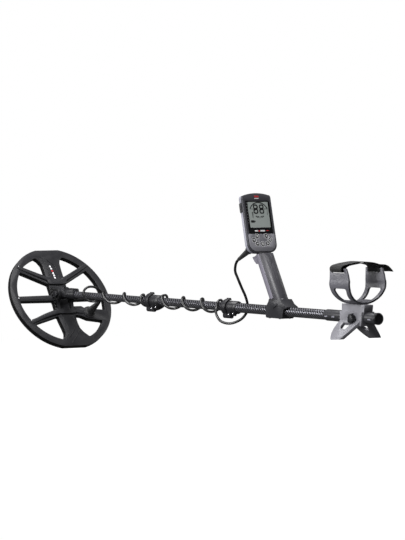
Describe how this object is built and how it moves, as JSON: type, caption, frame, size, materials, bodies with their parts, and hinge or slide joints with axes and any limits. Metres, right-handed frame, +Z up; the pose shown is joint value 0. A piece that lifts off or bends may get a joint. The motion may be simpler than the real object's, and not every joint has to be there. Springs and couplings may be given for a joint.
{
  "type": "metal detector",
  "caption": "hand-held metal detector with an open-spoked double-D search coil, telescopic carbon shaft with cam locks, wrapped coil cable, pistol grip, display pod, strapped armrest and stand",
  "frame": {"origin": "centre of the footprint box, on the surface that the coil edge and the two feet rest on", "axes": "+X to the rear (armrest end), along the length; -Y to the user's left; +Z up"},
  "size_m": [1.3607, 0.282, 0.3336],
  "materials": {
    "coil_plastic": "fine moulded texture",
    "skid_plastic": "satin",
    "copper": "enamelled winding",
    "rubber": "soft matt",
    "black_plastic": "satin",
    "carbon": "clear-coated carbon weave",
    "lock_plastic": "satin",
    "steel": "bright",
    "sleeve_plastic": "satin",
    "grip_plastic": "soft satin",
    "strip_rubber": "soft touch",
    "clamp_plastic": "satin",
    "battery_wrap": "shrink wrap",
    "bezel_plastic": "satin",
    "pod_grey": "satin",
    "window_gloss": "glossy black",
    "lcd": "reflective display",
    "board": "solder mask",
    "button_rubber": "silicone",
    "lens": "clear",
    "stand_grey": "satin",
    "cuff_grey": "satin",
    "webbing": "woven polyester",
    "cable": "smooth sheath"
  },
  "bodies": {
    "root": {"upper_tube": "carbon", "upper_lock_collar": "lock_plastic", "upper_lock_pin": "steel", "upper_lock_screws": "steel", "rear_sleeve": "sleeve_plastic", "end_cap": "black_plastic", "grip_left_shell": "grip_plastic", "grip_right_shell": "grip_plastic", "grip_front_shell": "strip_rubber", "grip_clamp": "clamp_plastic", "grip_screws": "steel", "battery_cell": "battery_wrap", "pod_front_shell": "bezel_plastic", "pod_rear_shell": "pod_grey", "display_window": "window_gloss", "lcd_panel": "lcd", "main_board": "board", "keypad_mat": "rubber", "speaker": "black_plastic", "cable_socket": "black_plastic", "headphone_socket": "black_plastic", "torch_lens": "lens", "cable_plug": "rubber", "cable_upper_end": "cable", "cable_middle_wrap": "cable"},
    "upper_lock_lever": {"upper_lock_lever": "lock_plastic"},
    "middle_shaft": {"middle_tube": "carbon", "middle_bush": "black_plastic", "lower_lock_collar": "lock_plastic", "lower_lock_pin": "steel", "lower_lock_screws": "steel", "cable_lock_pass": "cable", "cable_lower_wrap": "cable"},
    "lower_lock_lever": {"lower_lock_lever": "lock_plastic"},
    "lower_shaft": {"lower_tube": "carbon", "lower_bush": "black_plastic", "shaft_yoke": "black_plastic", "yoke_washers": "rubber", "cable_coil_end": "cable"},
    "coil": {"coil_housing": "coil_plastic", "coil_skid_plate": "skid_plastic", "coil_tx_winding": "copper", "coil_rx_winding": "copper", "cable_gland": "rubber", "coil_bolt": "black_plastic"},
    "coil_nut": {"coil_nut": "black_plastic"},
    "armrest": {"armrest_stand": "stand_grey", "armrest_cuff": "cuff_grey", "cuff_screws": "steel", "arm_strap": "webbing"},
    "armrest_knob": {"armrest_knob": "black_plastic"},
    "plug_ring": {"plug_ring": "black_plastic"},
    "side_button": {"side_button": "button_rubber"},
    "power_button": {"power_button": "button_rubber"},
    "menu_button": {"menu_button": "button_rubber"},
    "up_button": {"up_button": "button_rubber"},
    "down_button": {"down_button": "button_rubber"},
    "left_button": {"left_button": "button_rubber"},
    "right_button": {"right_button": "button_rubber"},
    "mode_button": {"mode_button": "button_rubber"}
  },
  "joints": [
    {"name": "middle_slide", "type": "slide", "parent": "root", "child": "middle_shaft", "axis": [0.9971, 0, -0.076], "range_m": [0, 0.19], "deforming": ["cable_middle_wrap", "cable_upper_end"]},
    {"name": "lower_slide", "type": "slide", "parent": "middle_shaft", "child": "lower_shaft", "axis": [0.9971, 0, -0.076], "range_m": [0, 0.19], "deforming": ["cable_lower_wrap", "cable_lock_pass"]},
    {"name": "coil_tilt", "type": "hinge", "parent": "lower_shaft", "child": "coil", "pos_m": [-0.5879, 0, 0.13679], "axis": [0, 1, 0], "range_deg": [-50, 60], "deforming": ["cable_coil_end"]},
    {"name": "nut_turn", "type": "hinge", "parent": "coil", "child": "coil_nut", "pos_m": [-0.5879, 0.028, 0.13679], "axis": [0, 1, 0], "range_deg": [0, 360]},
    {"name": "upper_lock_swing", "type": "hinge", "parent": "root", "child": "upper_lock_lever", "pos_m": [0.12152, -0.007, 0.06265], "axis": [0.9971, 0, -0.076], "range_deg": [0, 65]},
    {"name": "lower_lock_swing", "type": "hinge", "parent": "middle_shaft", "child": "lower_lock_lever", "pos_m": [-0.19656, -0.007, 0.0869], "axis": [0.9971, 0, -0.076], "range_deg": [0, 65]},
    {"name": "armrest_slide", "type": "slide", "parent": "root", "child": "armrest", "axis": [0.9971, 0, -0.076], "range_m": [-0.055, 0.025]},
    {"name": "knob_turn", "type": "hinge", "parent": "armrest", "child": "armrest_knob", "pos_m": [0.61246, -0.02, 0.04326], "axis": [0, -1, 0], "range_deg": [0, 360]},
    {"name": "plug_ring_turn", "type": "hinge", "parent": "root", "child": "plug_ring", "pos_m": [0.25562, -0.025, 0.20627], "axis": [-0.9161, 0, -0.401], "range_deg": [0, 270]},
    {"name": "side_button_press", "type": "slide", "parent": "root", "child": "side_button", "axis": [0, 1, 0], "range_m": [0, 0.0008], "stiffness_N_per_m": 400, "springref_m": -0.001},
    {"name": "power_button_press", "type": "slide", "parent": "root", "child": "power_button", "axis": [-0.987, 0, -0.1606], "range_m": [0, 0.0008], "stiffness_N_per_m": 400, "springref_m": -0.001},
    {"name": "menu_button_press", "type": "slide", "parent": "root", "child": "menu_button", "axis": [-0.987, 0, -0.1606], "range_m": [0, 0.0008], "stiffness_N_per_m": 400, "springref_m": -0.001},
    {"name": "up_button_press", "type": "slide", "parent": "root", "child": "up_button", "axis": [-0.987, 0, -0.1606], "range_m": [0, 0.0008], "stiffness_N_per_m": 400, "springref_m": -0.001},
    {"name": "down_button_press", "type": "slide", "parent": "root", "child": "down_button", "axis": [-0.987, 0, -0.1606], "range_m": [0, 0.0008], "stiffness_N_per_m": 400, "springref_m": -0.001},
    {"name": "left_button_press", "type": "slide", "parent": "root", "child": "left_button", "axis": [-0.987, 0, -0.1606], "range_m": [0, 0.0008], "stiffness_N_per_m": 400, "springref_m": -0.001},
    {"name": "right_button_press", "type": "slide", "parent": "root", "child": "right_button", "axis": [-0.987, 0, -0.1606], "range_m": [0, 0.0008], "stiffness_N_per_m": 400, "springref_m": -0.001},
    {"name": "mode_button_press", "type": "slide", "parent": "root", "child": "mode_button", "axis": [-0.987, 0, -0.1606], "range_m": [0, 0.0008], "stiffness_N_per_m": 400, "springref_m": -0.001}
  ]
}
